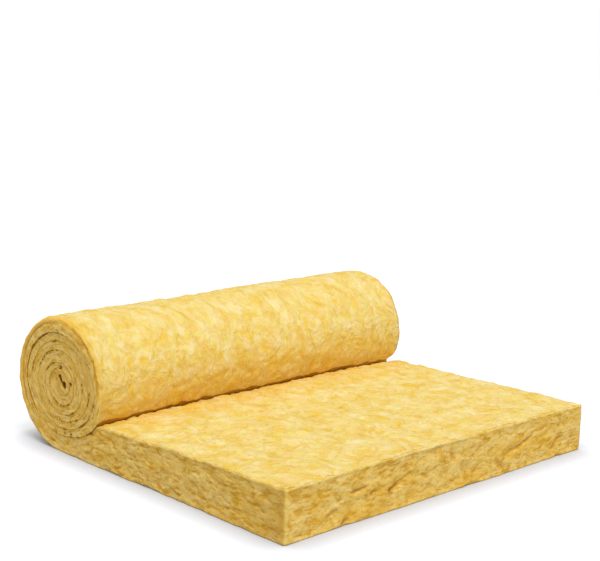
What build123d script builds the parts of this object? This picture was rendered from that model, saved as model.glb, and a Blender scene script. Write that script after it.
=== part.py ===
from build123d import *

import os
from math import cos, radians, sin, sqrt

# A mineral wool insulation blanket, sold compressed in a roll and here partly unrolled.
# Near the cut end the blanket has sprung back to its full thickness. Towards the roll it
# is still thinner, and under the roll and in its turns it is pressed to a third of that.
# The blanket is one piece: the roll is solid, its turns show on both ends as a spiral
# seam, and a narrow hollow is left along the middle of the innermost turn.
#
# Frame: +Z up, +X from the roll towards the cut end, +Y along the roll. The origin is
# on the floor, under the middle of the whole object.

# Driving dimensions, in millimetres
blanket_width = 1200
roll_diameter = 388
flat_length = 745  # lies unrolled, from the crease beside the roll to the cut end
thickness_at_cut_end = 140
thickness_at_middle = 129  # halfway between the crease and the cut end
thickness_at_crease = 110
thickness_under_roll = 46
turn_spacing = 28
seam_width = 5
seam_depth = 18
seam_mouth = 12  # how far the seam runs on past the crease, so that it opens there
hollow_length = 44
hollow_width = 15
hollow_tilt = -42  # degrees from level
rim_round = 8  # rounding of the long cut edges

# The roll stands tangent on the floor, and the crease is where its outside meets the
# top of the flat stretch.
roll_radius = roll_diameter / 2
crease_reach = sqrt(roll_radius**2 - (roll_radius - thickness_at_crease) ** 2)
overall_length = roll_radius + crease_reach + flat_length
roll_x = roll_radius - overall_length / 2
crease_x = roll_x + crease_reach
cut_end_x = crease_x + flat_length
roll_centre = (roll_x, roll_radius)

# Each half turn of the seam is an arc, smaller than the one before by half a turn's
# spacing. The left arcs share one centre and the right arcs another, just above it.
outer_seam_radius = roll_radius - thickness_under_roll
half_turn_drop = turn_spacing / 2
half_turns = int((outer_seam_radius - hollow_width) / half_turn_drop)
right_arc_centre = (roll_x, roll_radius + half_turn_drop)

# Side outline, drawn in the plane of the blanket's near edge
outline_plane = Plane.XZ
floor_point = (roll_x, 0)
crease_point = (crease_x, thickness_at_crease)
middle_point = (crease_x + flat_length / 2, thickness_at_middle)
cut_end_top = (cut_end_x, thickness_at_cut_end)
cut_end_foot = (cut_end_x, 0)
shoulder_angle = 150  # any angle on the roll's back, to pass the outer arc through
shoulder_point = (
    roll_x + roll_radius * cos(radians(shoulder_angle)),
    roll_radius + roll_radius * sin(radians(shoulder_angle)),
)


def add_seam_path():
    """The line between neighbouring turns, from the crease inwards to the hollow."""
    seam_foot = (roll_x, thickness_under_roll)
    first_arc = TangentArc(seam_foot, crease_point, tangent=(1, 0))
    Line(first_arc @ 1, first_arc @ 1 + (first_arc % 1) * seam_mouth)
    for half_turn in range(half_turns):
        radius = outer_seam_radius - half_turn * half_turn_drop
        goes_up_left = half_turn % 2 == 0
        centre = roll_centre if goes_up_left else right_arc_centre
        start_angle = 270 if goes_up_left else 90
        CenterArc(centre, radius, start_angle, -180)


with BuildPart() as wool_blanket:
    with BuildSketch(outline_plane) as side_outline:
        with BuildLine():
            ThreePointArc(floor_point, shoulder_point, crease_point)
            ThreePointArc(crease_point, middle_point, cut_end_top)
            Line(cut_end_top, cut_end_foot)
            Line(cut_end_foot, floor_point)
        make_face()
    extrude(amount=blanket_width / 2, both=True)
    end_faces = wool_blanket.faces().filter_by(Axis.Y)
    fillet(end_faces.edges(), rim_round)

    # The spiral seam, sunk into both ends
    for end_y in (-blanket_width / 2, blanket_width / 2):
        seam_plane = outline_plane.offset(-end_y)
        with BuildSketch(seam_plane):
            with BuildLine():
                add_seam_path()
            trace(line_width=seam_width)
        inwards = seam_depth if end_y > 0 else -seam_depth
        extrude(amount=inwards, mode=Mode.SUBTRACT)

    # The hollow along the middle of the roll
    with BuildSketch(outline_plane):
        with Locations((roll_x, roll_radius + half_turn_drop / 2)):
            SlotOverall(hollow_length, hollow_width, rotation=hollow_tilt)
    extrude(amount=blanket_width / 2, both=True, mode=Mode.SUBTRACT)

wool_blanket.part.label = "wool_blanket"
os.makedirs("parts", exist_ok=True)
export_step(wool_blanket.part, "parts/wool_blanket.step")
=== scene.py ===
# %% [markdown]
# # A mineral wool blanket, partly unrolled
# Glass wool for lofts and walls is spun as one endless soft blanket. It is pressed hard, wound
# up and cut to length, and when it is unrolled it springs back to its full thickness. This
# lesson dresses such a blanket: a flat stretch with a square cut end, and the roll behind it.
#
# The first step loads the fixed model that gives the size and place of everything. Noise is
# seeded as well, so that every run makes the same blanket.

# %% Load the fixed model
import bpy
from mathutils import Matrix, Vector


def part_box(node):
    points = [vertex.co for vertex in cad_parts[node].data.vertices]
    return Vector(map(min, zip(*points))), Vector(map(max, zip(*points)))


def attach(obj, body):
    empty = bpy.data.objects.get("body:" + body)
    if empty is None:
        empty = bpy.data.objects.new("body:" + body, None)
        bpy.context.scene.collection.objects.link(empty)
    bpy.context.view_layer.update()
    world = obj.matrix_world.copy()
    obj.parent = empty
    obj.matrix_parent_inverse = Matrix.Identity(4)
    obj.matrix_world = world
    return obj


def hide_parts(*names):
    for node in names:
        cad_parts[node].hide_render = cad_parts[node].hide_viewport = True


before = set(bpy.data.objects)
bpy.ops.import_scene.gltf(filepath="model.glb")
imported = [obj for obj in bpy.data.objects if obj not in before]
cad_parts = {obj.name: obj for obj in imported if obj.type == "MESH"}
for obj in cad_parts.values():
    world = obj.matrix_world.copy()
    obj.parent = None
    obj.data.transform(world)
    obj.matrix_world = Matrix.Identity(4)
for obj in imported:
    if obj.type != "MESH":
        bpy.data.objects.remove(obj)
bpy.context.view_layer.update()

import math
import random

import bpy
from mathutils import Matrix, Vector, bvhtree, noise

noise.seed_set(3)  # without it, noise vectors would start from the clock
low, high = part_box("wool_blanket")
print("nodes", list(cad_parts), "box", tuple(low), tuple(high))

# %% [markdown]
# ## Camera
# A product photo is taken from a good distance with a long lens, so that the blanket's
# edges stay almost parallel. The camera stands 1.3 m high, off the near corner of the cut
# end. It is placed by its compass direction, its tilt and a slight roll, because these can
# be worked out from the corners of the blanket one by one.

# %% Place the camera
camera_place = Vector((2.880, -2.876, 1.301))
camera_heading = math.radians(-45.33)
camera_tilt = math.radians(11.38)
camera_roll = math.radians(2.11)

forward = Vector((
    math.sin(camera_heading) * math.cos(camera_tilt),
    math.cos(camera_heading) * math.cos(camera_tilt),
    -math.sin(camera_tilt),
))
level = Vector((math.cos(camera_heading), -math.sin(camera_heading), 0))
upright = level.cross(forward)
right = level * math.cos(camera_roll) + upright * math.sin(camera_roll)
up = upright * math.cos(camera_roll) - level * math.sin(camera_roll)

camera_data = bpy.data.cameras.new("camera")
camera_data.lens = 87.0
camera_data.sensor_fit = "HORIZONTAL"
camera_data.sensor_width = 36
camera = bpy.data.objects.new("camera", camera_data)
camera.matrix_world = Matrix((
    (right.x, up.x, -forward.x, camera_place.x),
    (right.y, up.y, -forward.y, camera_place.y),
    (right.z, up.z, -forward.z, camera_place.z),
    (0, 0, 0, 1),
))
bpy.context.scene.collection.objects.link(camera)
bpy.context.scene.camera = camera
bpy.context.scene.view_settings.view_transform = "Standard"
print("camera looks along", tuple(round(part, 3) for part in forward))

# %% [markdown]
# ## Shader maths as Python
# A material is a graph of nodes. Written out one node at a time it is hard to read, so this
# small class wraps a socket: plus, minus and times between two sockets add the Math node.
# Every other node comes from `add`, which takes the node's type, its settings and its inputs.

# %% A socket that can be reckoned with
class Flow:
    """A value, colour or vector that flows out of a node's socket."""

    def __init__(self, tree, socket=None):
        self.tree = tree
        self.socket = socket

    def add(self, kind, settings=None, inputs=None, output=0):
        node = self.tree.nodes.new(kind)
        for name, value in (settings or {}).items():
            if name == "stops":
                lay_stops(node.color_ramp, value)
            else:
                setattr(node, name, value)
        for name, value in (inputs or {}).items():
            if isinstance(value, Flow):
                self.tree.links.new(value.socket, node.inputs[name])
            else:
                node.inputs[name].default_value = value
        return None if output is None else Flow(self.tree, node.outputs[output])

    def beside(self, output):
        """Another output of the same node."""
        return Flow(self.tree, self.socket.node.outputs[output])

    def reckon(self, operation, first, second=0.0):
        return self.add("ShaderNodeMath", {"operation": operation}, {0: first, 1: second})

    def __add__(self, other):
        return self.reckon("ADD", self, other)

    def __sub__(self, other):
        return self.reckon("SUBTRACT", self, other)

    def __rsub__(self, other):
        return self.reckon("SUBTRACT", other, self)

    def __mul__(self, other):
        return self.reckon("MULTIPLY", self, other)

    __radd__ = __add__
    __rmul__ = __mul__

    def between(self, start, end):
        """0 below start, 1 above end, and a soft change between them."""
        return self.add(
            "ShaderNodeMapRange",
            {"interpolation_type": "SMOOTHSTEP"},
            {"Value": self, "From Min": start, "From Max": end},
        )

    def mix(self, first, second):
        """A colour that turns from first to second as this value goes from 0 to 1."""
        return self.add(
            "ShaderNodeMix",
            {"data_type": "RGBA"},
            {"Factor": self, 6: first, 7: second},
            output=2,
        )


# %% [markdown]
# ## Ramps, materials and colours
# A ramp's stops are settings too, but each has two parts, so they get a helper. Colours are
# picked as they look on a screen. Shaders take linear numbers, in which a middle grey is much
# less than a half, so one function turns the first into the second.

# %% Ramps, materials and colours
def lay_stops(ramp, stops):
    while len(ramp.elements) < len(stops):
        ramp.elements.new(1.0)
    for element, (position, shade) in zip(ramp.elements, stops):
        element.position = position
        element.color = shade


def new_material(name):
    material = bpy.data.materials.new(name)
    material.use_nodes = True
    material.node_tree.nodes.clear()
    return material, Flow(material.node_tree)


def colour(red, green, blue):
    """A colour as it is seen, from 0 to 255, in the linear numbers that shaders take."""
    parts = []
    for part in (red, green, blue):
        part /= 255
        parts.append(part / 12.92 if part <= 0.04045 else ((part + 0.055) / 1.055) ** 2.4)
    return (*parts, 1.0)


print("middle grey in linear numbers", round(colour(128, 128, 128)[0], 3))

# %% [markdown]
# ## The blanket's own sizes
# The outer sizes come from the fixed model. What the model keeps plain is added here, such as
# how the thickness grows towards the cut end. The crease is the line where the roll's outside
# meets the top of the flat stretch. Places round the roll are given by the angle turned since
# the crease: below 0 on the roll's outside, above 0 on the seam that runs in under it.

# %% Sizes
half_width = (high.y - low.y) / 2
roll_radius = (high.z - low.z) / 2
roll_x = low.x + roll_radius
cut_end_x = high.x
crease_thickness = 0.116
cut_end_thickness = 0.140
spring_back = 0.7  # below 1, the thickness recovers fastest just beyond the crease
crease_x = roll_x + math.sqrt(roll_radius**2 - (roll_radius - crease_thickness) ** 2)
crease_angle = math.degrees(math.atan2(crease_thickness - roll_radius, crease_x - roll_x))
flat_length = cut_end_x - crease_x
turned_at_floor = crease_angle + 90 - 360  # where the roll's outside leaves the floor
print("crease at x", round(crease_x, 4), "flat length", round(flat_length, 4))

# %% [markdown]
# ## A few curves
# Most of the shaping below is done with three small curves: one that fades from 0 to 1, one
# that is a rounded hump, and one that runs smoothly through a few given points.

# %% Helpers for smooth curves
def clamp(value):
    return max(0.0, min(1.0, value))


def smooth(value, start, end):
    """0 below start, 1 above end, and a soft change between them."""
    share = clamp((value - start) / (end - start))
    return share * share * (3 - 2 * share)


def hump(distance, width):
    """1 at no distance, falling away like a rounded hump."""
    return math.exp(-((distance / width) ** 2))


def along_points(points, at):
    """A smooth curve through (position, value) pairs."""
    for index in range(len(points) - 1):
        if at <= points[index + 1][0]:
            break
    before = points[max(index - 1, 0)]
    start, end = points[index], points[index + 1]
    after = points[min(index + 2, len(points) - 1)]
    span = end[0] - start[0]
    share = (at - start[0]) / span
    slope_in = (end[1] - before[1]) / (end[0] - before[0]) * span
    slope_out = (after[1] - start[1]) / (after[0] - start[0]) * span
    lift = share * share * (3 - 2 * share)
    return (
        start[1] * (1 - lift) + end[1] * lift
        + slope_in * share * (1 - share) ** 2
        - slope_out * share * share * (1 - share)
    )


print("a hump at half its width", round(hump(0.5, 1), 3))

# %% [markdown]
# ## The seam between the turns
# Seen from the end, a roll is one long spiral line: the seam where each turn lies on the next.
# A spiral formula would give perfect circles, but real turns are pressed flat underneath and
# bulge on the side of the crease. So the line is given by a few points, each an angle turned
# since the crease and a distance from the middle of the roll, with a smooth curve through them.

# %% The line of the roll's outside and of the seam
seam_points = [
    (0, 0.194), (20, 0.172), (40, 0.155), (64, 0.145), (100, 0.144), (154, 0.151),
    (238, 0.146), (290, 0.155), (330, 0.170), (359, 0.158), (385, 0.139), (424, 0.124),
    (470, 0.121), (514, 0.128), (598, 0.122), (650, 0.132), (690, 0.143), (719, 0.132),
    (750, 0.115), (784, 0.103), (830, 0.098), (874, 0.100), (958, 0.096), (1010, 0.103),
    (1054, 0.109), (1100, 0.097), (1144, 0.084), (1190, 0.075), (1234, 0.070), (1318, 0.061),
    (1366, 0.066), (1414, 0.070), (1456, 0.067), (1504, 0.060), (1546, 0.052), (1594, 0.046),
    (1680, 0.044), (1726, 0.041), (1770, 0.043), (1816, 0.040), (1860, 0.033), (1906, 0.027),
    (1950, 0.024), (1996, 0.023), (2040, 0.011), (2086, 0.0018), (2130, 0.009), (2176, 0.022),
    (2220, 0.009), (2266, 0.0016), (2310, 0.008), (2356, 0.016), (2400, 0.007),
]
last_turned = 1996  # degrees from the crease to the blanket's inner end
slit_middle = Vector((0.012, 0.008))  # the slit in the middle of the roll, off its axis
drift_start = 1560  # from here on the turns move over towards the slit
swell_points = [
    (-300, 0.0), (-250, 0.003), (-205, 0.005), (-165, 0.002), (-115, -0.004), (-70, -0.003),
    (-35, -0.004), (-12, -0.002), (0, 0.0),
]  # the roll isn't quite round: it bulges at the back and is a little flat on top


def winding_point(turned):
    """A point (x, z) on the outside of the roll, or past the crease on the seam."""
    if turned <= 0:
        distance = roll_radius + along_points(swell_points, turned)
    else:
        distance = along_points(seam_points, turned)
    angle = math.radians(crease_angle - turned)
    drift = slit_middle * smooth(turned, drift_start, last_turned)
    return Vector((
        roll_x + drift.x + distance * math.cos(angle),
        roll_radius + drift.y + distance * math.sin(angle),
    ))


print("turns of the seam", round(last_turned / 360, 2))

# %% [markdown]
# ## Relief of the soft faces
# The two large faces of felted glass fibre are soft: swellings a few centimetres across, with
# narrow creases where two of them meet. A noise that is folded over at zero gives that, round
# on top and sharp in the valleys. It is a function of the place on the flat blanket, so that it
# is wound up with the roll.

# %% Swellings and creases
swellings = (
    (0.150, 0.0028, 3.1, False),
    (0.050, 0.0058, 11.7, True),
    (0.024, 0.0038, 23.9, True),
    (0.011, 0.0010, 37.3, False),
)  # length, height, seed, and whether the noise is folded over at zero
folded_mean = 0.2
pull_length = 0.06  # a slow noise pulls the creases askew
pull = 0.014


def wave(first, second, seed):
    """Smooth noise between about -1 and 1."""
    return noise.noise((first, second, seed))


def soft_relief(length, across):
    """Height of the swellings and creases on a large face."""
    pulled = noise.noise_vector((length / pull_length, across / pull_length, 1.5)) * pull
    length, across = length + pulled.x, across + pulled.y
    height = 0.0
    for swelling_length, swelling_height, seed, is_folded in swellings:
        value = wave(length / swelling_length, across / swelling_length, seed)
        height += swelling_height * (abs(value) - folded_mean if is_folded else value)
    return height


print("relief in the middle of the flat stretch", round(soft_relief(flat_length / 2, 0), 4))

# %% [markdown]
# ## Relief of the cut faces
# The blanket's edges were cut by a saw, so they show the layers that it was laid down in, with
# folds and small torn pockets. Each of these is a noise that is long along the layer and short
# across it. On the flat stretch the layers wander, and in the turns they are pressed together.

# %% Folds, strands and torn pockets
slab_torn = 0.0010  # how far the saw tears everywhere
bulge_height = 0.0034
fold_height = 0.0013
strand_height = 0.0003
pocket_depth = 0.0036
turn_torn = 0.0008
layer_spacing = 0.0075
layer_height = 0.0009
turn_pocket_depth = 0.0020


def slab_relief(length, depth, seed, pocketed):
    """How far the flat stretch's cut faces are torn in, at a depth below its upper face."""
    bend = 1.2 * wave(length / 0.05, depth / 0.04, seed + 1.6)
    bulge = wave(length / 0.060, depth / 0.040, seed)
    fold = 1 - smooth(abs(wave(length / 0.040, depth / 0.024 + bend, seed + 5.3)), 0, 0.20)
    strand = wave(length / 0.018, depth / 0.009 + bend, seed + 7.1)
    torn = smooth(wave(length / 0.026, depth / 0.014 + bend, seed + 9.1), 0.22, 0.50)
    surface = slab_torn + bulge_height * bulge + fold_height * fold + strand_height * strand
    return surface + pocket_depth * torn * pocketed


def turn_relief(length, depth, seed):
    """The same for the rims of the turns, where the layers are pressed together."""
    layered = depth / layer_spacing + 0.8 * wave(length / 0.06, depth / 0.05, seed + 1.6)
    layers = wave(length / 0.026, layered, seed + 5.3)
    torn = smooth(wave(length / 0.013, layered * 0.9, seed + 9.1), 0.24, 0.50)
    return turn_torn + layer_height * layers + turn_pocket_depth * torn


print("a turn's rim torn in by", round(turn_relief(flat_length, 0.02, 0), 4))

# %% [markdown]
# ## Stations along the blanket
# The blanket is one long band, so its mesh is a row of cross-sections, called stations. Each
# one has a point on the underside and a point on the upper side of the band. In the roll the
# underside is the outside of a turn, and the upper side lies on the next turn's outside, one
# whole turn further along the same spiral.

# %% Heights of the flat stretch and of the seam below the roll
crown = (0.004, -0.0025, -0.0075)  # of the cut end's top: raised, tipped and rounded off
seam_line = [winding_point(half_degree / 2) for half_degree in range(160)]


def seam_height(x):
    """Height of the seam under the roll, between the crease and the roll's lowest point."""
    for start, end in zip(seam_line, seam_line[1:]):
        if end.x <= x <= start.x:
            share = (start.x - x) / (start.x - end.x)
            return start.y + (end.y - start.y) * share
    return crease_thickness


def top_height(x, y):
    """Height of the flat stretch. It is crowned a little across the cut end."""
    share = clamp((x - crease_x) / flat_length)
    side = y / half_width
    crowned = crown[0] + crown[1] * side + crown[2] * side * side
    rise = cut_end_thickness - crease_thickness
    return crease_thickness + rise * share**spring_back + crowned * share


print("top of the cut end", round(top_height(cut_end_x, 0), 4))

# %% One station
class Station:
    """One cross-section of the band: where it is cut, and what its two faces do there."""

    def __init__(self, outer, inner, length, outer_turned, inner_turned, x=None):
        self.outer = outer
        self.inner = inner
        self.length = length
        self.outer_turned = outer_turned
        self.inner_turned = inner_turned
        self.x = x  # only where the band lies flat on the floor
        self.across = (inner - outer).normalized()
        self.thickness = (inner - outer).length

    def at(self, depth):
        """The point (x, z) at a depth from the outer face."""
        return self.outer.lerp(self.inner, depth / self.thickness)

# %% [markdown]
# ## Walking along the blanket
# The stations start at the cut end, go along the flat stretch and in under the roll, and then
# follow the spiral to the blanket's inner end. All steps are about equally long, but none is
# more than a few degrees, so that the small turns in the middle stay round.

# %% Walk along the flat stretch, then round the turns
station_step = 0.0043  # metres along the blanket
largest_turn_step = 9.0  # degrees round the roll
edge_round = 0.005  # of the flat stretch's sawn edges

stations = []
first_x = cut_end_x - edge_round
steps = round((first_x - roll_x) / station_step)
for step in range(steps + 1):
    x = first_x - (first_x - roll_x) * step / steps
    beyond_crease = x >= crease_x
    top = top_height(x, 0) if beyond_crease else seam_height(x)
    turned = None
    if not beyond_crease:
        turned = crease_angle - math.degrees(math.atan2(top - roll_radius, x - roll_x))
    length = cut_end_x - x
    stations.append(Station(Vector((x, 0)), Vector((x, top)), length, None, turned, x))
first_rolled = len(stations) - 1

turned = turned_at_floor
while turned < last_turned:
    reach = (winding_point(turned) - Vector((roll_x, roll_radius))).length
    turned += min(largest_turn_step, math.degrees(station_step / reach))
    turned = min(turned, last_turned)
    outer = winding_point(turned)
    inner = winding_point(turned + 360)
    previous = stations[-1]
    length += ((outer + inner) / 2 - (previous.outer + previous.inner) / 2).length
    stations.append(Station(outer, inner, length, turned, turned + 360))
print("stations", len(stations), "blanket length", round(length, 3))

# %% [markdown]
# ## Gaps between the turns
# Neighbouring turns keep a thin gap between them, which opens in places near the two ends:
# those openings are the dark dashes that make a rolled blanket's turns readable. At the end
# that faces us they are a list of stretches, in degrees turned since the crease. At the far
# end noise lays them. Along the crease the gap comes and goes.

# %% Gaps
closed_gap = 0.0002
open_gap = 0.0006
crease_gap = 0.0010
gap_reach = 0.016  # how deep an open gap runs in from the end
near_openings = [
    (8, 20), (27, 35), (42, 48), (53, 59), (69, 74), (184, 226), (236, 243), (300, 312),
    (331, 386), (405, 420), (520, 545), (585, 607), (690, 715), (735, 747), (753, 763),
    (770, 795), (892, 950), (956, 962), (1040, 1060), (1095, 1130), (1180, 1190),
    (1255, 1306), (1358, 1366), (1461, 1540), (1610, 1630), (1674, 1688), (1760, 1800),
]
opening_fade = 5  # degrees over which a gap opens at each end of a stretch
outer_turn_radius = 0.16  # about, for the far end's noise
tightening = 0.000075  # how much smaller the turns get with every degree
smallest_radius = 0.03


def opening(turned, y):
    """How far the gap is open at an end of the roll, from 0 to 1."""
    if y > 0:
        radius = max(smallest_radius, outer_turn_radius - tightening * turned)
        return smooth(wave(math.radians(turned) * radius / 0.030, 7.3, 0.5), -0.05, 0.30)
    rough = clamp(0.62 + 1.1 * wave(turned / 3.4, 2.2, 8.8))
    for start, end in near_openings:
        if start < turned < end:
            fade = min(opening_fade, (end - start) / 2)
            return rough * smooth(turned, start, start + fade) * smooth(-turned, -end, fade - end)
    return 0.0


def gap(turned, y):
    """Half the gap between neighbouring turns."""
    from_end = half_width - abs(y)
    at_end = open_gap * opening(turned, y) * clamp(1 - from_end / gap_reach)
    at_crease = crease_gap * (1 + 0.8 * wave(y / 0.028, 0.3, 5.1)) * (1 - smooth(turned, 0, 12))
    at_crease *= 0.3 + 0.7 * smooth(from_end, 0, 0.06)
    return closed_gap + max(at_end, at_crease)


print("open stretches at the near end", len(near_openings))

# %% [markdown]
# ## The two large faces
# Where a face can be seen it gets the soft relief, and where it lies on the next turn it only
# keeps its half of the gap. Beside the crease the roll's weight squeezes the wool up into small
# scallops, so the crease isn't a ruled line.

# %% Points on the two faces
scallop_height = 0.009


def scalloped(y):
    """How far the flat stretch's wool swells up where the roll rests on it."""
    swell = 0.7 * abs(wave(y / 0.042, 4.3, 2.7)) + 0.5 * abs(wave(y / 0.017, 8.3, 5.7)) - 0.2
    return scallop_height * swell * smooth(half_width - abs(y), 0, 0.03)


def outer_point(station, y):
    """A point (x, z) on the underside of the band, which is the outside of a turn."""
    turned = station.outer_turned
    if turned is None:
        return station.outer.copy()
    if turned > 0:
        return station.outer + station.across * gap(turned, y)
    near_floor = smooth(turned - turned_at_floor, 4, 30)
    relief = soft_relief(station.length, y) * near_floor * smooth(-turned, 0, 7)
    tucked = gap(0, y) * (1 - smooth(-turned, 0, 14))
    return station.outer - station.across * (relief - tucked)


def inner_point(station, y):
    """A point (x, z) on the upper side of the band, or on the inside of a turn."""
    turned = station.inner_turned
    if turned is not None:
        relief = scalloped(y) * (1 - smooth(turned, 0, 14))
        return station.inner - station.across * (gap(turned, y) - relief)
    from_crease = station.x - crease_x
    relief = soft_relief(station.length, y + 4.0) * smooth(from_crease, 0, 0.02)
    relief += (scalloped(y) - gap(0, y)) * (1 - smooth(from_crease, 0, 0.025))
    return Vector((station.x, top_height(station.x, y) + relief))


print("scallop in the middle of the crease", round(scalloped(0), 4))

# %% [markdown]
# ## Rounded corners
# A ring of points goes round each station: along the outer face, over the far rim, back along
# the inner face and over the near rim. Its four corners are rounded, most on the outside of
# the roll, where the skin is pulled over the rim. The flat stretch's lower edge is worn more
# in some places than in others.

# %% How corners are rounded
turn_round = 0.0020  # of each turn's two corners
skin_round = 0.018  # of the outermost turn's outer corner
worn_round = 0.007  # what wear adds to the lower edge


def rounding(depth, radius):
    """How far a rounded corner stands back, at a depth from the face."""
    depth = max(0.0, min(depth, radius))
    return radius - math.sqrt(radius**2 - (radius - depth) ** 2)


def foot_round(along, seed, from_corner):
    """The rounding of the flat stretch's lower edge, which is worn more in some places."""
    worn = smooth(wave(along / 0.055, 6.1, seed), 0.05, 0.45) * smooth(from_corner, 0.01, 0.08)
    return edge_round + worn_round * worn


def corner_radii(station):
    """The rounding of the outer and the inner corner."""
    foot = foot_round(station.length, 0.4, station.length)
    if station.x is not None:
        return foot, edge_round if station.inner_turned is None else turn_round
    if station.outer_turned > 0:
        return turn_round, turn_round
    skin = foot + (skin_round - foot) * smooth(station.outer_turned - turned_at_floor, 0, 60)
    return turn_round + (skin - turn_round) * smooth(-station.outer_turned, 0, 25), turn_round


print("corner radii at the cut end", [round(radius, 4) for radius in corner_radii(stations[0])])

# %% [markdown]
# ## Where the points of a ring lie
# Faces that nobody sees, such as the one on the floor and those between the turns, have only a
# few points. That keeps the mesh light. The rims are fine all over, because both ends of the
# roll show every turn.

# %% Places across the width and across the thickness
soft_step = 0.0045  # metres between neighbouring points on the soft faces
cut_step = 0.0022  # the same, across the thickness on the cut faces
corner_shares = (0.08, 0.3, 0.62)
hidden_places = (0, 0.006, 0.014, 0.026, 0.045, 0.08, 0.2, 0.4)


def rim_depths(station):
    """Distances across the thickness at which the rim has points, without its two ends."""
    outer_radius, inner_radius = corner_radii(station)
    thickness = station.thickness
    middle = thickness - outer_radius - inner_radius
    count = max(4, round(middle / cut_step))
    depths = [outer_radius * share for share in corner_shares]
    depths += [outer_radius + middle * step / count for step in range(count + 1)]
    depths += [thickness - inner_radius * share for share in reversed(corner_shares)]
    return depths


def face_places(first, last, fine):
    """Places across the width, from the near rim to the far one."""
    if fine:
        count = round((last - first) / soft_step)
        return [first + (last - first) * step / count for step in range(count + 1)]
    near = [first + place for place in hidden_places]
    return near + [0.0] + [last - place for place in reversed(hidden_places)]


print("points across the thickness at the cut end", len(rim_depths(stations[0])))

# %% [markdown]
# ## The lip and the pits
# At both ends of the roll the outside's skin is folded over the rim like a lip, with a groove
# below it. A few small pits show where a pinch of fibres was pulled out. Groove and pits are
# made by moving the rim's points inwards. Both also darken the paint, because such hollows
# catch little light.

# %% The folded lip
lip_points = [
    (-250, 0.030), (-205, 0.028), (-160, 0.021), (-115, 0.015), (-80, 0.012), (-40, 0.011),
    (-8, 0.008),
]  # how far down the lip reaches, by the degrees turned
lip_start, lip_end = lip_points[0][0], lip_points[-1][0]
lip_groove = 0.0045
groove_width = 0.0035


def on_lip(station):
    """1 where the skin is folded over the rim, falling to 0 at both ends of the lip."""
    turned = station.outer_turned
    if turned is None or not lip_start < turned < lip_end:
        return 0.0
    return smooth(turned, lip_start, -225) * smooth(-turned, -lip_end, 45)


def lip_line(station, depth):
    """1 on the groove below the folded lip, falling to 0 beside it."""
    share = on_lip(station)
    if share == 0:
        return 0.0
    turned = station.outer_turned
    distance = depth - along_points(lip_points, turned) - 0.002 * wave(turned / 7, 0.4, 2.2)
    return share * hump(distance, groove_width)


def lip_share(station, depth):
    """1 on the folded lip, 0 below its groove."""
    share = on_lip(station)
    if share == 0:
        return 0.0
    wide = along_points(lip_points, station.outer_turned)
    return share * (1 - smooth(depth, 0.5 * wide, 1.2 * wide))


print("the lip runs from", lip_start, "to", lip_end, "degrees")

# %% Small pits in the near rim
near_pits = [
    (-0.361, 0.243, 0.006, 0.006), (-0.311, 0.251, 0.004, 0.004), (-0.363, 0.215, 0.009, 0.006),
    (-0.342, 0.199, 0.007, 0.006), (-0.313, 0.204, 0.006, 0.005), (-0.336, 0.057, 0.005, 0.004),
    (-0.307, 0.059, 0.006, 0.005), (-0.214, 0.088, 0.005, 0.005), (-0.369, 0.341, 0.004, 0.004),
    (-0.379, 0.054, 0.004, 0.004), (0.151, 0.050, 0.0024, 0.003), (0.218, 0.066, 0.0018, 0.003),
    (0.283, 0.083, 0.0030, 0.004), (0.338, 0.094, 0.0030, 0.004), (0.258, 0.035, 0.0036, 0.004),
    (0.349, 0.036, 0.0036, 0.004), (0.393, 0.043, 0.0030, 0.003), (0.439, 0.091, 0.0024, 0.003),
    (0.480, 0.045, 0.0024, 0.003), (0.102, 0.069, 0.0018, 0.003), (0.003, 0.037, 0.0018, 0.003),
    (-0.142, 0.094, 0.0018, 0.004), (-0.036, 0.062, 0.0024, 0.003),
]  # x, z, depth and radius of each
pit_stretch = 3.0  # on the flat stretch the pits are this much longer than high


def pit_depth(station, depth):
    """How deep the small pits in the blanket's near rim are at a point."""
    place = station.at(depth)
    stretch = 1.0 if station.x is None else pit_stretch
    deepest = 0.0
    for x, z, deep, wide in near_pits:
        distance = math.hypot((place.x - x) / stretch, place.y - z)
        if distance < 3 * wide:
            deepest = max(deepest, deep * hump(distance, wide))
    return deepest


print("pits", len(near_pits))

# %% [markdown]
# ## How far the rims stand out or back
# Pressed felt grows a little wider than it was cut, so the turns stand out beyond the flat
# stretch, most at the far end. Beside the crease the far end is drawn in instead, where the
# roll pulls on the blanket. The torn relief, the lip and the pits are added to that.

# %% The rims
wound_from, wound_to = -296, -230  # degrees over which the layers become those of a turn
far_spread = 0.005  # how far the far rim stands out on the flat
roll_spread = (0.002, 0.016)  # and in the turns on top of that, at the near and the far end
outer_spread = 0.003  # the outermost turn's rim stands proud of the others
drawn_in = 0.068  # how far the far end is drawn in at the crease
drawn_reach = 0.025  # and over what distance that fades
rim_seeds = (57.0, 31.0)  # of the near and the far rim


def in_roll(station):
    """0 where the blanket lies flat, 1 where it is wound up."""
    return smooth(station.outer_turned, wound_from, wound_to) if station.x is None else 0.0


def rim_shift(station, depth, side):
    """How far a rim stands out beyond the blanket's own width. Below 0 it is drawn in."""
    is_far = side > 0
    spread = far_spread if is_far else 0.0
    if station.x is not None:
        return spread
    spread += roll_spread[is_far] * in_roll(station)
    spread += outer_spread * in_roll(station) * (1 - smooth(station.outer_turned, -60, 30))
    if is_far:
        place = station.at(depth)
        from_crease = math.hypot(place.x - crease_x, place.y - crease_thickness)
        spread -= drawn_in * math.exp(-from_crease / drawn_reach)
    return spread


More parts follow.
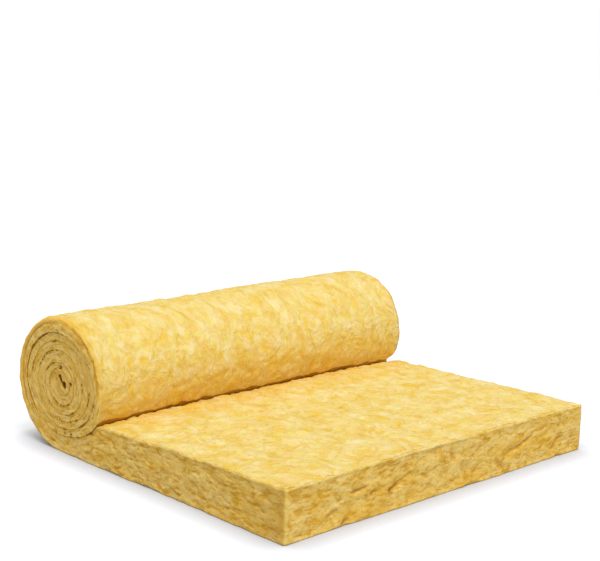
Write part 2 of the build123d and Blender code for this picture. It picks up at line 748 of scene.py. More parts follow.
def stands_back(station, depth, side):
    """How far the rim is torn in at a depth from the outer face."""
    outer_radius, inner_radius = corner_radii(station)
    from_inner = station.thickness - depth
    corner = rounding(depth, outer_radius) + rounding(from_inner, inner_radius)
    seed = rim_seeds[side > 0]
    wound = in_roll(station)
    torn = slab_relief(station.length, from_inner, seed, 1.0) * (1 - wound)
    torn *= smooth(station.length, 0.004, 0.030)
    torn += turn_relief(station.length, from_inner, seed) * wound
    inside = smooth(min(depth, from_inner), 0, 0.013 - 0.006 * wound)
    dent = pit_depth(station, depth) if side < 0 else 0.0
    lip = lip_groove * lip_line(station, depth)
    return corner + torn * inside + lip + dent - rim_shift(station, depth, side)


print("the inner turns stand out at the far end by", round(rim_shift(stations[-1], 0, 1), 4))

# %% [markdown]
# ## What the material wants to know
# The paint follows the shape: painted shade darkens the seams, the cracks, the pits, the lip's
# groove and the crease, a painted shadow lies at the bottom of the crease, a painted highlight
# brightens the upright corners of the cut end, and the lip is gold. A material can't measure that
# by itself, so each point of the mesh carries a few numbers between 0 and 1, called attributes.
# They are `cut`, on a sawn face, `tucked`, for painted shade deep in a seam, a crack, a pit or the
# crease, then one for the painted highlight on the upright corners, and `folded`, on the lip.
# `lay` is the place where the point was on the flat blanket, and gives the pattern something to
# follow.

# %% Seams, cut faces and the crease
seam_width = 0.0042
pit_shown = 0.005  # a pit this deep is as dark as a seam
shaded_rim = 0.24  # the flat stretch's rims are a little darker beside the cut end


def seam_shade(station, depth, side):
    """How much a point of the rim is darkened, from 0 to 1: painted shade in a seam, the lip's
    groove or a pit, and a little beside the cut end.
    """
    seams = [(station.outer_turned, depth), (station.inner_turned, station.thickness - depth)]
    shade = 0.6 * lip_line(station, depth)
    if side < 0:
        shade = max(shade, min(1.0, pit_depth(station, depth) / pit_shown))
    if station.x is not None:
        shade = max(shade, shaded_rim * (1 - smooth(station.length, 0.02, 0.13)))
    for turned, distance in seams:
        if turned is not None and turned > 0:
            strength = 0.20 + 0.70 * opening(turned, side)
            shade = max(shade, strength * hump(distance, seam_width))
    return shade


def ragged_skin(along, seed):
    """How far down a cut face the skin still hangs."""
    return 0.007 * clamp(0.4 + 1.5 * wave(along / 0.014, seed, 1.2))


def cut_share(station, depth):
    """Near 1 on the sawn part of the rim, and lower where it is still skin."""
    outer, inner = station.outer_turned, station.inner_turned
    ragged = ragged_skin(station.length, 3.3)
    share = smooth(cut_end_x - station.x, 0.002, 0.012) if station.x is not None else 1.0
    if outer is None:
        share *= smooth(depth, 0.001, 0.004)
    elif outer <= 0:
        skin = along_points(lip_points, max(lip_start, min(outer, lip_end)))
        skin *= smooth(outer, turned_at_floor, -250) * smooth(-outer, -10, 40)
        share *= smooth(depth, 0.4 * skin, 1.1 * skin + 0.002)
    if inner is None:
        share *= smooth(station.thickness - depth, ragged, 0.009 + ragged)
    return 0.8 + 0.2 * share


def crease_shade(turned, from_crease, y):
    """How much painted shade a point of a large face gets in the crease, from 0 to 1."""
    if turned is None:
        close, wide = 1 - smooth(from_crease, 0, 0.05), 1 - smooth(from_crease, 0, 0.18)
        return 0.36 * close + 0.36 * wide
    deep = 6.0 + 3.6 * wave(y / 0.035, 9.4, 4.1) + 1.0 * wave(y / 0.012, 9.4, 7.1)
    return max(0.85 * (1 - smooth(-turned, 0, 50)), smooth(turned, -deep, 1 - deep / 2))


print("shade of the crease in the middle", round(crease_shade(0, 0, 0), 2))

# %% [markdown]
# ## Points with attributes
# The band's points are collected in one long pile, each with its attributes. A plain list of
# places would do for the shape, but the material needs the attributes of the very same points.

# %% A pile of points
attribute_names = ("lay", "cut", "tucked", "worn", "folded")
pressed_felt = 0.060  # depth of the felt's pattern across a turn


class Pile:
    """Points that are being collected, with the attributes of each."""

    def __init__(self):
        self.points = []
        self.attributes = {name: [] for name in attribute_names}

    def drop(self, place, *values):
        self.points.append(place)
        for name, value in zip(attribute_names, values):
            self.attributes[name].append(value)
        return len(self.points) - 1


band = Pile()


def put(place, y, length, depth_share, cut, tucked=0.0, worn=0.0, folded=0.0):
    """Adds a point of the band at (x, z) and y, and returns its number."""
    pressed = smooth(length, flat_length - 0.05, flat_length + 0.25)
    felt = cut_end_thickness + (pressed_felt - cut_end_thickness) * pressed
    lay = (length, y, depth_share * felt)
    return band.drop((place.x, y, place.y), lay, cut, tucked, worn, folded)

# %% [markdown]
# ## Rings round the band
# Now every station becomes a closed ring of points. Each point also gets its share of the way
# round the ring: 0 to 1 along the outer face, 1 to 2 over the far rim, 2 to 3 back along the
# inner face, and 3 to 4 over the near rim. The shares are needed to join the rings.

# %% The faces of a ring
fine_until = 24  # degrees past the crease at which a face is out of sight
skin_until = 20  # and at which it is painted as felt's inside


def face_span(station, depth, radius):
    """The two ends of a large face, across the width."""
    first = radius - half_width - rim_shift(station, depth, -1)
    last = half_width - radius + rim_shift(station, depth, 1)
    return first, last


def outer_face(station):
    turned = station.outer_turned
    fine = station is stations[0] or (turned is not None and turned < fine_until)
    hidden = int(turned is not None and turned > skin_until)
    first, last = face_span(station, 0, corner_radii(station)[0])
    face = []
    for y in face_places(first, last, fine):
        tucked = crease_shade(turned, 0, y) if turned is not None else 0
        point = put(outer_point(station, y), y, station.length, 0, hidden, tucked)
        face.append(((y - first) / (last - first), point))
    return face


def inner_face(station):
    turned = station.inner_turned
    fine = turned is None or turned < fine_until
    hidden = int(turned is not None and turned > skin_until)
    from_crease = station.x - crease_x if turned is None else 0
    first, last = face_span(station, station.thickness, corner_radii(station)[1])
    face = []
    for y in reversed(face_places(first, last, fine)):
        tucked = crease_shade(turned, from_crease, y)
        point = put(inner_point(station, y), y, station.length, 1, hidden, tucked)
        face.append((2 + (last - y) / (last - first), point))
    return face


# %% The rims of a ring, and all rings
def rim(station, side, start):
    depths = rim_depths(station)
    if side < 0:
        depths.reverse()
    points = []
    for depth in depths:
        y = side * (half_width - stands_back(station, depth, side))
        share = depth / station.thickness
        place = outer_point(station, y).lerp(inner_point(station, y), share)
        tucked = seam_shade(station, depth, side)
        cut, folded = cut_share(station, depth), lip_share(station, depth)
        point = put(place, y, station.length, share, cut, tucked, 0.0, folded)
        points.append((start + (share if side > 0 else 1 - share), point))
    return points


rings = [
    outer_face(station) + rim(station, 1, 1.0) + inner_face(station) + rim(station, -1, 3.0)
    for station in stations
]
print("rings", len(rings), "points", len(band.points))

# %% [markdown]
# ## Skin over the rings
# Neighbouring rings may differ in their number of points, so they are joined like the two sides
# of a zip. The zip walks round both rings at once and always moves on along the ring that lags
# behind, so that rings of unequal length still close without a hole.

# %% The zip
def zipped(first, second):
    """Triangles between two rings, given as (share of the way round, point) pairs."""
    faces = []
    here, there = 0, 0
    while here < len(first) or there < len(second):
        next_here = first[here + 1][0] if here + 1 < len(first) else 4.0
        next_there = second[there + 1][0] if there + 1 < len(second) else 4.0
        point_here = first[here % len(first)][1]
        point_there = second[there % len(second)][1]
        if there >= len(second) or (here < len(first) and next_here <= next_there):
            faces.append((point_here, point_there, first[(here + 1) % len(first)][1]))
            here += 1
        else:
            faces.append((point_here, point_there, second[(there + 1) % len(second)][1]))
            there += 1
    return faces


three, four = [(0, 0), (1.3, 1), (2.7, 2)], [(0, 3), (1, 4), (2, 5), (3, 6)]
print("faces between a ring of 3 points and one of 4", len(zipped(three, four)))

# %% [markdown]
# ## The two ends of the band
# Both ends of the band are closed by a grid of points. Each point of the grid is blended from
# the four sides of the ring, so that the grid meets the ring without a gap.

# %% A grid across a ring
def sides_of(ring):
    """The ring's points as four lines: under and over from near to far, rims from below up."""
    under = [point for share, point in ring if share <= 1]
    over = [point for share, point in ring if 2 <= share <= 3][::-1]
    far = [under[-1]] + [point for share, point in ring if 1 < share < 2] + [over[-1]]
    near = [under[0]] + [point for share, point in ring if share > 3][::-1] + [over[0]]
    return under, over, near, far


def end_patch(ring, put_point, faces_forward):
    """A grid of points across a ring, which closes the band. Returns its faces."""
    under, over, near, far = sides_of(ring)
    wide, tall = len(under), len(near)
    grid = [[None] * tall for column in range(wide)]
    for column in range(wide):
        grid[column][0], grid[column][-1] = under[column], over[column]
    grid[0], grid[-1] = list(near), list(far)
    at = [Vector(point) for point in band.points]
    for column in range(1, wide - 1):
        along = column / (wide - 1)
        for row in range(1, tall - 1):
            rise = row / (tall - 1)
            grid[column][row] = put_point(
                at[under[column]] * (1 - rise) + at[over[column]] * rise
                + at[near[row]] * (1 - along) + at[far[row]] * along
                - (at[near[0]] * (1 - along) + at[far[0]] * along) * (1 - rise)
                - (at[near[-1]] * (1 - along) + at[far[-1]] * along) * rise
            )
    faces = []
    for column in range(wide - 1):
        for row in range(tall - 1):
            corners = (
                grid[column][row], grid[column][row + 1],
                grid[column + 1][row + 1], grid[column + 1][row],
            )
            faces.append(corners[::-1] if faces_forward else corners)
    return faces


print("points on each side of the first ring", [len(side) for side in sides_of(rings[0])])

# %% [markdown]
# ## The cut end
# The cut end is the part of the blanket that one sees best. Across it run a few large tears,
# where the saw pulled a layer along. Each is a line from one place to another, made ragged by
# noise. Finer tears come from the same relief as on the rims.

# %% Tears in the cut end
cracks = [
    ((-0.161, 0.087), (-0.205, 0.066), 0.004, 0.005),
    ((-0.205, 0.066), (-0.230, 0.050), 0.009, 0.008),
    ((-0.228, 0.050), (-0.226, 0.040), 0.007, 0.007),
    ((-0.365, 0.080), (-0.319, 0.087), 0.007, 0.006),
    ((-0.296, 0.061), (-0.288, 0.064), 0.006, 0.006),
    ((-0.413, 0.065), (-0.405, 0.068), 0.005, 0.006),
    ((-0.445, 0.038), (-0.420, 0.044), 0.005, 0.007),
    ((-0.398, 0.004), (-0.390, 0.012), 0.008, 0.007),
    ((0.265, 0.057), (0.303, 0.067), 0.004, 0.006),
    ((0.303, 0.067), (0.352, 0.079), 0.006, 0.006),
    ((0.352, 0.079), (0.378, 0.095), 0.004, 0.005),
    ((0.378, 0.095), (0.430, 0.099), 0.003, 0.005),
    ((0.503, 0.057), (0.471, 0.036), 0.006, 0.008),
    ((0.004, 0.113), (0.024, 0.094), 0.004, 0.007),
    ((0.205, 0.048), (0.230, 0.026), 0.004, 0.009),
]  # each from (y, z) to (y, z), with its depth and its width
crack_shown = 0.012  # a crack this deep is as dark as a seam


def crack_depth(y, z):
    """How deep the few large tears in the cut end run at a point."""
    deepest = 0.0
    ragged = Vector((wave(y / 0.02, z / 0.02, 4.4), wave(y / 0.02, z / 0.02, 6.6))) * 0.006
    ragged += Vector((wave(y / 0.007, z / 0.007, 2.4), wave(y / 0.007, z / 0.007, 9.6))) * 0.003
    place = Vector((y, z)) + ragged
    for start, end, deep, wide in cracks:
        along = Vector(end) - Vector(start)
        share = clamp((place - Vector(start)).dot(along) / along.length_squared)
        distance = (place - Vector(start) - along * share).length
        deepest = max(deepest, deep * hump(distance, wide))
    return deepest


print("tears in the cut end", len(cracks))

# %% The face of the cut end
def torn_cut_end(place):
    """A point of the square cut end, torn in between the layers."""
    top = top_height(cut_end_x, place.y)
    depth = top - place.z
    from_side = half_width - abs(place.y)
    edge = min(depth, place.z, from_side)
    crack = crack_depth(place.y, place.z)
    torn = (slab_relief(place.y, depth, 83.0, 0.25) + crack) * smooth(edge, 0, 0.013)
    torn *= smooth(from_side, 0.004, 0.030)
    foot = rounding(place.z, foot_round(place.y, 8.3, from_side))
    x = cut_end_x - max(rounding(edge, edge_round), foot) - torn
    ragged = ragged_skin(place.y, 4.3)
    cut = 0.7 + 0.3 * smooth(depth, ragged, 0.009 + ragged) * smooth(place.z, 0, 0.004)
    # a painted highlight along the upright corners of the cut end, where they catch the light
    worn = 1 - smooth(from_side, 0.004, 0.011)
    spot = Vector((x, place.z))
    length = cut_end_x - x
    # the depth of the tears sets their painted shade
    return put(spot, place.y, length, place.z / top, cut, crack / crack_shown, worn)


def plain_end(place):
    """A point of the blanket's inner end, deep in the roll."""
    return put(Vector((place.x, place.z)), place.y, stations[-1].length, 0.5, 1.0)

# %% [markdown]
# ## Three groups of faces
# The two ends and the skin between the rings now give every face of the band. They are sorted
# into the flat stretch, the roll's outer turn and the turns inside it, so that each can be
# picked up, hidden or lit by itself.

# %% All faces
tucked_from = 30  # degrees past the crease at which a turn counts as an inner one

flat_faces = end_patch(rings[0], torn_cut_end, True)
inner_faces = end_patch(rings[-1], plain_end, False)
outer_faces = []
first_tucked = next(
    index for index, station in enumerate(stations)
    if station.outer_turned is not None and station.outer_turned > tucked_from
)
for index, (first, second) in enumerate(zip(rings, rings[1:])):
    if index < first_rolled:
        flat_faces += zipped(first, second)
    elif index < first_tucked:
        outer_faces += zipped(first, second)
    else:
        inner_faces += zipped(first, second)
all_faces = flat_faces + outer_faces + inner_faces
print("faces of each group", len(flat_faces), len(outer_faces), len(inner_faces))

# %% [markdown]
# ## Slow bends of the whole blanket
# Nothing this soft is straight. A slow three-dimensional waver moves every point of the
# blanket, inside and out, so faces that lie on each other stay together. The crease is bowed
# too: it stands back in the middle of the width.

# %% Bend the points a little
waver = 0.004
waver_length = 0.30
ruffle = 0.0015
ruffle_length = 0.026
crease_bow = 0.022
bow_reach = 0.10
held_down = 0.04  # below this height the floor holds the wool


def bent(point):
    x, y, z = point
    lift = clamp(z / held_down)
    drift = noise.noise_vector((x / waver_length, y / waver_length, z / waver_length)) * waver
    drift += noise.noise_vector((x / ruffle_length, y / ruffle_length, z / ruffle_length)) * ruffle
    away = (x - crease_x) ** 2 + (z - crease_thickness) ** 2
    bow = crease_bow * (1 - (y / half_width) ** 2) * math.exp(-away / bow_reach**2)
    return (
        x + drift.x - bow * lift,
        y + drift.y,
        max(0.0, z + drift.z * lift),
    )


places = [bent(point) for point in band.points]
print("highest point", round(max(place[2] for place in places), 4))

# %% [markdown]
# ## From points to pieces
# The band is shown as three pieces that share their border rings: the flat stretch, the roll's
# outer turn and the turns inside it. The pieces are soft, and all of them stand for the model's
# one solid blanket.

# %% Three pieces
def show_mesh(name, points, faces, attributes):
    """A mesh object of the blanket, with its attributes: a name and one value a point."""
    mesh = bpy.data.meshes.new(name)
    mesh.from_pydata(points, [], faces)
    for attribute, values in attributes.items():
        if isinstance(values[0], tuple):
            layer = mesh.attributes.new(attribute, "FLOAT_VECTOR", "POINT")
            layer.data.foreach_set("vector", [part for value in values for part in value])
        else:
            layer = mesh.attributes.new(attribute, "FLOAT", "POINT")
            layer.data.foreach_set("value", values)
    mesh.shade_smooth()
    piece = bpy.data.objects.new(name, mesh)
    bpy.context.scene.collection.objects.link(piece)
    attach(piece, "root")
    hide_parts("wool_blanket")
    mesh.calc_loop_triangles()
    print(name, "triangles", len(mesh.loop_triangles))
    return piece


def make_piece(name, faces):
    """A piece with only those points of the band that its faces use."""
    used = sorted({point for face in faces for point in face})
    new_number = {point: number for number, point in enumerate(used)}
    return show_mesh(
        name,
        [places[point] for point in used],
        [tuple(new_number[point] for point in face) for face in faces],
        {
            attribute: [values[point] for point in used]
            for attribute, values in band.attributes.items()
        },
    )


flat_stretch = make_piece("flat_stretch", flat_faces)
outer_turn = make_piece("outer_turn", outer_faces)
inner_turns = make_piece("inner_turns", inner_faces)

# %% [markdown]
# ## Loose tufts
# Sawn glass wool is never clean: small tufts of fibre lie loose on the long cut faces. Each one
# here is a thin three-sided spindle, pointed at both ends, whose foot is sunk into the wool. A
# particle system could scatter them, but then they couldn't follow the layers. So a line is shot
# at the blanket from outside, a tuft grows where it hits, and it runs along the layer there.

# %% One spindle
tuft_points = 6
tuft_rise = 0.0008
foot_depth = 0.5  # of the tuft's half width
ridge_share = 0.4
highest_ridge = 0.0005
skin = bvhtree.BVHTree.FromPolygons(places, all_faces)


def spindle(place, way, out, length, width, lift, curl):
    """The corners of a spindle that follows the surface, ring by ring."""
    side = out.cross(way)
    place = place - way * length / 2
    rings = []
    for number in range(tuft_points):
        share = number / (tuft_points - 1)
        heading = way * math.cos(curl * (share - 0.5)) + side * math.sin(curl * (share - 0.5))
        if number:
            place = place + heading * length / (tuft_points - 1)
        near, normal, face, far = skin.find_nearest(place)
        swell = math.sin(math.pi * share)
        middle = near + normal * (-tuft_rise + tuft_rise * swell + lift * share * share)
        if number in (0, tuft_points - 1):
            rings.append([middle])
            continue
        thick = width * swell**0.7
        across = normal.cross(heading).normalized() * thick
        foot = middle - normal * (foot_depth * thick)
        ridge = middle + normal * min(ridge_share * thick, highest_ridge)
        rings.append([foot + across, ridge, foot - across])
    return rings


def skin_between(first, second):
    """The faces between two rings of a spindle, of which one may be a single point."""
    faces = []
    for corner in range(3):
        following = (corner + 1) % 3
        face = [first[corner % len(first)], first[following % len(first)]]
        face += [second[following % len(second)], second[corner % len(second)]]
        face = tuple(dict.fromkeys(face))
        if len(face) > 2:
            faces.append(face)
    return faces


print("faces to shoot at", len(all_faces))

# %% The way a layer runs, and where no tuft grows
bare_corner = 0.030  # beside the upright corners of the cut end
bare_rim = 0.012  # below the flat stretch's top


def layer_way(face):
    """The direction in which a face runs along its layer of the felt."""
    corners = all_faces[face]
    lay = band.attributes["lay"]
    best, way = None, None
    for here, there in zip(corners, corners[1:] + corners[:1]):
        step = Vector(places[there]) - Vector(places[here])
        rise = abs(lay[there][2] - lay[here][2]) / max(step.length, 1e-6)
        if best is None or rise < best:
            best, way = rise, step.normalized()
    return way


def near_edge(place):
    """True beside the upright corners of the cut end and just below the flat stretch's top."""
    beyond_crease = place.x > crease_x
    below_top = place.z > top_height(place.x, place.y) - bare_rim
    return beyond_crease and (place.x > cut_end_x - bare_corner or below_top)


print("the first face's layer runs", tuple(round(part, 2) for part in layer_way(0)))

# %% [markdown]
# ## Throwing the tufts
# Each line starts beside the blanket at a random place and is shot straight at one of its two
# long sides. Tufts keep off the upright corners and the flat stretch's top edge, where they
# would look like a beard. A tuft takes over the paint of the wool that it lies on.

# %% Throw the tufts
shots = 1800  # from each side
tuft_lengths = (0.014, 0.030)
tuft_widths = (0.0020, 0.0036)
tuft_lift = 0.0010
lowest_tuft = 0.004
dice = random.Random(11)


def tuft_attributes(hit, face):
    """The attributes of the blanket's point beside a tuft, with the place a little shifted."""
    source = min(all_faces[face], key=lambda point: (Vector(places[point]) - hit).length)
    lay, cut, tucked, worn, folded = (values[source] for values in band.attributes.values())
    shift = Vector((dice.gauss(0, 0.004), dice.gauss(0, 0.004), dice.gauss(0, 0.002)))
    return tuple(Vector(lay) + shift), cut, 0.3 * tucked, worn, folded


def throw(pile, faces, side):
    """Shoots one line at a long side of the blanket, and grows a tuft where it hits."""
    start = Vector((dice.uniform(low.x, high.x), side, dice.uniform(0, high.z)))
    aim = Vector((0, -side, 0))
    hit, out, face, far = skin.ray_cast(start, aim)
    if hit is None or hit.z < lowest_tuft or out.dot(aim) > -0.6 or near_edge(hit):
        return
    way = layer_way(face) + Vector([dice.gauss(0, 0.35) for part in range(3)])
    way = (way - out * way.dot(out)).normalized()
    if dice.random() < 0.5:
        way.negate()
    length, width = dice.uniform(*tuft_lengths), dice.uniform(*tuft_widths)
    curl = dice.gauss(0, 0.6)
    rings = spindle(hit, way, out, length, width, dice.uniform(0, tuft_lift), curl)
    values = tuft_attributes(hit, face)
    numbers = [
        [pile.drop((corner.x, corner.y, max(0.0, corner.z)), *values) for corner in ring]
        for ring in rings
    ]
    for first, second in zip(numbers, numbers[1:]):
        faces += skin_between(first, second)


tuft_pile, tuft_faces = Pile(), []
for side in (-1, 1):
    for shot in range(shots):
        throw(tuft_pile, tuft_faces, side)
loose_tufts = show_mesh("loose_tufts", tuft_pile.points, tuft_faces, tuft_pile.attributes)
points_each = 2 + 3 * (tuft_points - 2)
print("tufts", len(tuft_pile.points) // points_each)

# %% [markdown]
# ## Glass wool
# Glass wool is a felt of countless fine yellow fibres. Close up it has no surface of its own,
# only fibres in every direction, and from further away it is a soft, mottled, streaky yellow:
# pale where the fibres are combed up and catch the light, and deep gold where they lie dense.
# Cut faces are darker, because one looks into the layers from the side.
#
# The pattern could be painted, but it has to follow the blanket round its turns. So it is made
# of noise textures that read the `lay` attribute: the place of each point on the flat blanket.

# %% Colours of the wool
cream = colour(248, 231, 168)
yellow = colour(243, 212, 119)
gold = colour(234, 188, 72)
# painted shade in the crease: deep gold
painted_crease_shade_gold = colour(228, 174, 30)
cut_gold = colour(239, 183, 54)
# painted shadow at the bottom of the crease
painted_crease_shadow_brown = colour(172, 120, 18)
straw = colour(251, 218, 128)
ochre = colour(245, 201, 98)
umber = colour(214, 160, 44)
lip_gold = colour(255, 198, 66)
# painted highlight on the upright corners of the cut end
painted_highlight_yellow = colour(255, 228, 126)
peach = colour(252, 214, 148)
lemon = colour(240, 220, 104)
# painted shade in seams, cracks, pits and the lip's groove
painted_seam_shade_gold = colour(214, 160, 60)
amber = colour(243, 198, 58)
pale_straw = colour(252, 222, 146)
# the same painted shade, where it is deepest
painted_seam_shade_brown = colour(164, 116, 30)
print("cream in linear numbers", tuple(round(part, 3) for part in cream))

# %% Attributes, and noise that can be stretched and pushed
wool, flow = new_material("mineral_wool")
lay = flow.add("ShaderNodeAttribute", {"attribute_name": "lay"}, output="Vector")
cut, tucked, worn, folded = (
    flow.add("ShaderNodeAttribute", {"attribute_name": name}, output="Fac")
    for name in attribute_names[1:]
)


def stretched(place, angle, lengths):
    """The place turned by an angle on the flat blanket, and divided by three lengths."""
    return flow.add(
        "ShaderNodeMapping",
        {"vector_type": "POINT"},
        {
            "Vector": place,
            "Rotation": (0, 0, math.radians(angle)),
            "Scale": tuple(1 / length for length in lengths),
        },
    )


def noisy(place, detail=2.0, roughness=0.5, output=0):
    """Noise from 0 to 1 at a place that is already in the noise's own lengths."""
    return flow.add(
        "ShaderNodeTexNoise",
        {"noise_dimensions": "3D"},
        {"Vector": place, "Scale": 1.0, "Detail": detail, "Roughness": roughness},
        output=output,
    )


def pushed(place, push, reach):
    """The place moved by a push, such as a colour noise, times its reach each way."""
    return flow.add(
        "ShaderNodeVectorMath", {"operation": "MULTIPLY_ADD"}, {0: push, 1: reach, 2: place}
    )


def line_at(value, level, width):
    """1 where a value passes through a level, 0 from a width away."""
    return 1 - flow.reckon("ABSOLUTE", value - level).between(0, width)

# %% [markdown]
# ## Streaks of combed fibre
# On the soft faces the fibres lie in short combed streaks, which swirl. A streak is noise that
# is squeezed in one direction and stretched in the other. Three such layers cross at different
# angles, and each one shows only in its own patches, so that no direction wins.

# %% Streaks, lumps and grain
wide_swirl = noisy(stretched(lay, 0, (0.12, 0.12, 0.12)), 1.0, output="Color")
curl = noisy(stretched(lay, 0, (0.034, 0.034, 0.034)), 1.0, output="Color")
swirled = pushed(pushed(lay, wide_swirl, (0.08, 0.08, 0.0)), curl, (0.028, 0.028, 0.0))

streak_size = (0.024, 0.0075, 0.02)
streaks = None
for number, angle in enumerate((12, 68, 128)):
    moved = pushed(swirled, (1, 1, 0), (number * 3.7, number * 1.9, 0))
    one_way = noisy(stretched(moved, angle, streak_size), 2.5, 0.55)
    here = noisy(stretched(moved, 0, (0.045, 0.045, 0.05)), 1.0).between(0.42, 0.58)
    streaks = one_way if streaks is None else streaks * (1 - here) + one_way * here
lumps = noisy(stretched(swirled, 0, (0.016, 0.016, 0.016)))
patches = noisy(stretched(swirled, 0, (0.06, 0.05, 0.05)))
grain = noisy(stretched(lay, 0, (0.0034, 0.0034, 0.0034)), 2.0, 0.6)
hairs = line_at(streaks, 0.5, 0.05)
print("nodes for the streaks", len(wool.node_tree.nodes))

# %% [markdown]
# ## Colour of the skin
# All these noises together choose a tone between gold and cream. Real wool also drifts in hue, a
# little towards peach here and lemon there, with amber patches where the binder gathered. In the
# crease a painted shade turns the wool deep gold, and a painted shadow turns it brown right at its
# bottom.

# %% Skin
# The streaks and lumps also raise the bump, so this tone is partly the wool's own colour and
# partly painted light and shade: paler on their crests and deeper gold in their hollows.
tone_with_painted_light = streaks * 0.32 + lumps * 0.22 + patches * 0.46 + grain * 0.03
skin_colour_light_and_shade = flow.add(
    "ShaderNodeValToRGB",
    {"stops": [(0.375, gold), (0.495, yellow), (0.625, cream)]},
    {"Fac": tone_with_painted_light},
)
skin_colour_light_and_shade = (hairs * 0.10).mix(skin_colour_light_and_shade, cream)
hue = noisy(stretched(swirled, 0, (0.030, 0.020, 0.030)), 1.0)
skin_colour_light_and_shade = (hue.between(0.52, 0.68) * 0.35).mix(skin_colour_light_and_shade, peach)
skin_colour_light_and_shade = ((1 - hue).between(0.52, 0.68) * 0.45).mix(skin_colour_light_and_shade, lemon)
dense = noisy(stretched(swirled, 0, (0.042, 0.030, 0.042)))
skin_colour_light_and_shade = (dense.between(0.55, 0.69) * 0.6).mix(skin_colour_light_and_shade, amber)
# painted shade in the crease, and a painted shadow brown at its very bottom
skin_colour_light_and_shade = (tucked * 0.60).mix(skin_colour_light_and_shade, painted_crease_shade_gold)
skin_colour_light_and_shade = tucked.between(0.87, 1.0).mix(skin_colour_light_and_shade, painted_crease_shadow_brown)
print("nodes with the skin", len(wool.node_tree.nodes))

# %% [markdown]
# ## Colour of the cut faces
# A cut face shows the felt's layers from the side, so its noises are long along the layer and
# short across it. Small pockets lie between them, darkened with painted shade. Seams are painted
# too, because a gap of a millimetre is too narrow to be dark by its shadow alone, and so are the
# cracks, the pits and the groove below the lip. A painted highlight brightens the upright corners
# of the cut end.

# %% Cut faces
askew = pushed(lay, curl, (0.03, 0.03, 0.016))
layers = noisy(stretched(askew, 0, (0.034, 0.034, 0.015)))
less_askew = pushed(lay, curl, (0.02, 0.02, 0.010))
strands = noisy(stretched(less_askew, 0, (0.015, 0.015, 0.0065)))
shaded_pockets = noisy(stretched(lay, 0, (0.016, 0.016, 0.0090)), 1.0).between(0.60, 0.72)
# The layers and strands that the bump raises are painted paler, and their hollows darker: partly
# the felt's own layered colour, partly painted light and shade.
cut_colour_light_and_shade = flow.add(
    "ShaderNodeValToRGB",
    {"stops": [(0.36, umber), (0.48, ochre), (0.62, straw)]},
    {"Fac": layers * 0.65 + strands * 0.32 + grain * 0.03},
)
rich = noisy(stretched(pushed(lay, curl, (0.03, 0.03, 0.03)), 0, (0.10, 0.10, 0.055)))
cut_colour_light_and_shade = (rich.between(0.48, 0.66) * 0.45).mix(cut_colour_light_and_shade, cut_gold)
cut_colour_light_and_shade = ((1 - rich).between(0.50, 0.68) * 0.20).mix(cut_colour_light_and_shade, pale_straw)
# painted shade in the small pockets between the layers
cut_colour_light_and_shade = (shaded_pockets * 0.5).mix(cut_colour_light_and_shade, umber)
cut_colour_light_and_shade = (folded * 0.8).mix(cut_colour_light_and_shade, lip_gold)
# painted shade in seams, cracks, pits and the lip's groove: gold at first, brown where deepest
cut_colour_light_and_shade = (tucked.between(0.0, 0.5) * 0.8).mix(cut_colour_light_and_shade, painted_seam_shade_gold)
cut_colour_light_and_shade = tucked.between(0.35, 1.0).mix(cut_colour_light_and_shade, painted_seam_shade_brown)
# painted highlight along the upright corners of the cut end
cut_colour_light_and_shade = (worn * 0.5).mix(cut_colour_light_and_shade, painted_highlight_yellow)
print("nodes with the cut faces", len(wool.node_tree.nodes))

# %% [markdown]
# ## The finished wool
# Fibres scatter light in all directions, so the wool is rough and has hardly any gloss. The
# mesh holds the swellings, folds and tears. What is smaller than its faces, down to strands and
# grain, is left to a bump, which only tilts the light.

# %% Bump and surface
soft_height = streaks * 0.006 + lumps * 0.006 + grain * 0.0008
cut_height = strands * 0.0005 + layers * 0.0036 - shaded_pockets * 0.0010
height = soft_height * (1 - cut) + cut_height * cut
relief = flow.add("ShaderNodeBump", None, {"Height": height, "Distance": 1.0, "Strength": 0.8})
surface = flow.add(
    "ShaderNodeBsdfPrincipled", None,
    {
        "Base Color": cut.mix(skin_colour_light_and_shade, cut_colour_light_and_shade),
        "Roughness": 0.95,
        "Specular IOR Level": 0.15,
        "Normal": relief,
    },
)
flow.add("ShaderNodeOutputMaterial", None, {"Surface": surface}, output=None)
for piece in (flat_stretch, outer_turn, inner_turns, loose_tufts):
    piece.data.materials.append(wool)
print("nodes of the finished wool", len(wool.node_tree.nodes))

# %% [markdown]
# ## Floor
# The blanket lies on a plain pale floor that runs out of sight. To the camera the floor glows a
# little, so that it is white in the open. The glow fades close to the blanket, and the floor's
# own grey paint keeps the shadow there. The light that the floor sends to the blanket isn't
# changed, because the glow is only there for rays that come from the camera, a mirror or glass.

# %% A floor that is white from afar
floor_reach = 12
floor_grey = (0.53, 0.555, 0.615, 1)  # a little blue, against the wool's yellow light
floor_glow = 0.56
white = (1, 1, 1, 1)
shadow_reach = 0.10  # how near the blanket the glow fades


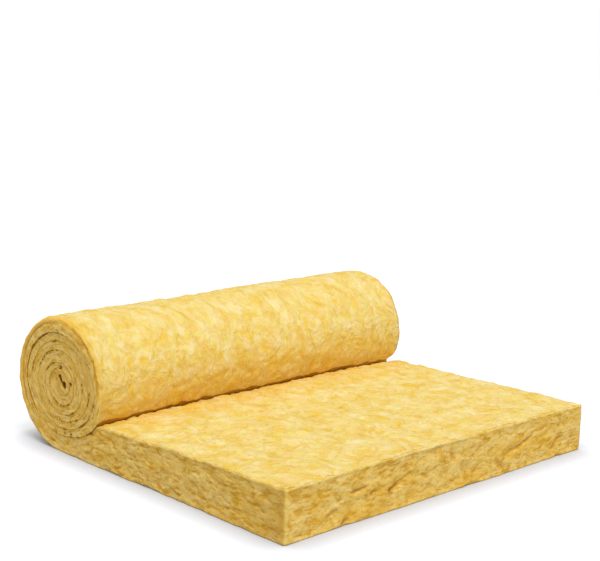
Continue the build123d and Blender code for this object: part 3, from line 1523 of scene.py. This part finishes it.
def looked_at(flow):
    """1 for rays that end in the picture, 0 for light that bounces between things."""
    seen = flow.add("ShaderNodeLightPath", output="Is Camera Ray")
    return seen + seen.beside("Is Glossy Ray") + seen.beside("Is Transmission Ray")


floor_mesh = bpy.data.meshes.new("floor")
floor_corners = [
    (-floor_reach, -floor_reach, 0), (floor_reach, -floor_reach, 0),
    (floor_reach, floor_reach, 0), (-floor_reach, floor_reach, 0),
]
floor_mesh.from_pydata(floor_corners, [], [(0, 1, 2, 3)])
floor = bpy.data.objects.new("floor", floor_mesh)
bpy.context.scene.collection.objects.link(floor)

floor_paint, flow = new_material("floor_paint")
paint = flow.add("ShaderNodeBsdfDiffuse", None, {"Color": floor_grey})
in_the_open = flow.add(
    "ShaderNodeAmbientOcclusion", {"samples": 8}, {"Distance": shadow_reach}, output="AO"
)
strength = looked_at(flow) * (in_the_open * in_the_open) * floor_glow
glow = flow.add("ShaderNodeEmission", None, {"Color": white, "Strength": strength})
both = flow.add("ShaderNodeAddShader", None, {0: paint, 1: glow})
flow.add("ShaderNodeOutputMaterial", None, {"Surface": both}, output=None)
floor_mesh.materials.append(floor_paint)
print("floor", 2 * floor_reach, "m wide")

# %% [markdown]
# ## Studio light
# A white studio lights the blanket softly from everywhere, and one broad sun gives it a bright
# and a shaded side. The white world is at full strength only where the camera sees it, so that
# the background is white without adding light to the wool. A large sun angle keeps the shadow
# soft, like that of a wide lamp.

# %% World and sun
world_light = 0.55  # where 1 is the white that the camera sees
towards_sun = Vector((0.235, -0.085, 0.50))

world = bpy.data.worlds.new("studio")
world.use_nodes = True
world.node_tree.nodes.clear()
bpy.context.scene.world = world
flow = Flow(world.node_tree)
strength = looked_at(flow) * (1 - world_light) + world_light
background = flow.add("ShaderNodeBackground", None, {"Color": white, "Strength": strength})
flow.add("ShaderNodeOutputWorld", None, {"Surface": background}, output=None)

sun_data = bpy.data.lights.new("sun", "SUN")
sun_data.energy = 1.74
sun_data.angle = math.radians(32)
sun = bpy.data.objects.new("sun", sun_data)
sun.rotation_euler = towards_sun.to_track_quat("Z", "Y").to_euler()
bpy.context.scene.collection.objects.link(sun)
print("sun", round(sun_data.energy, 2), "world", world_light)
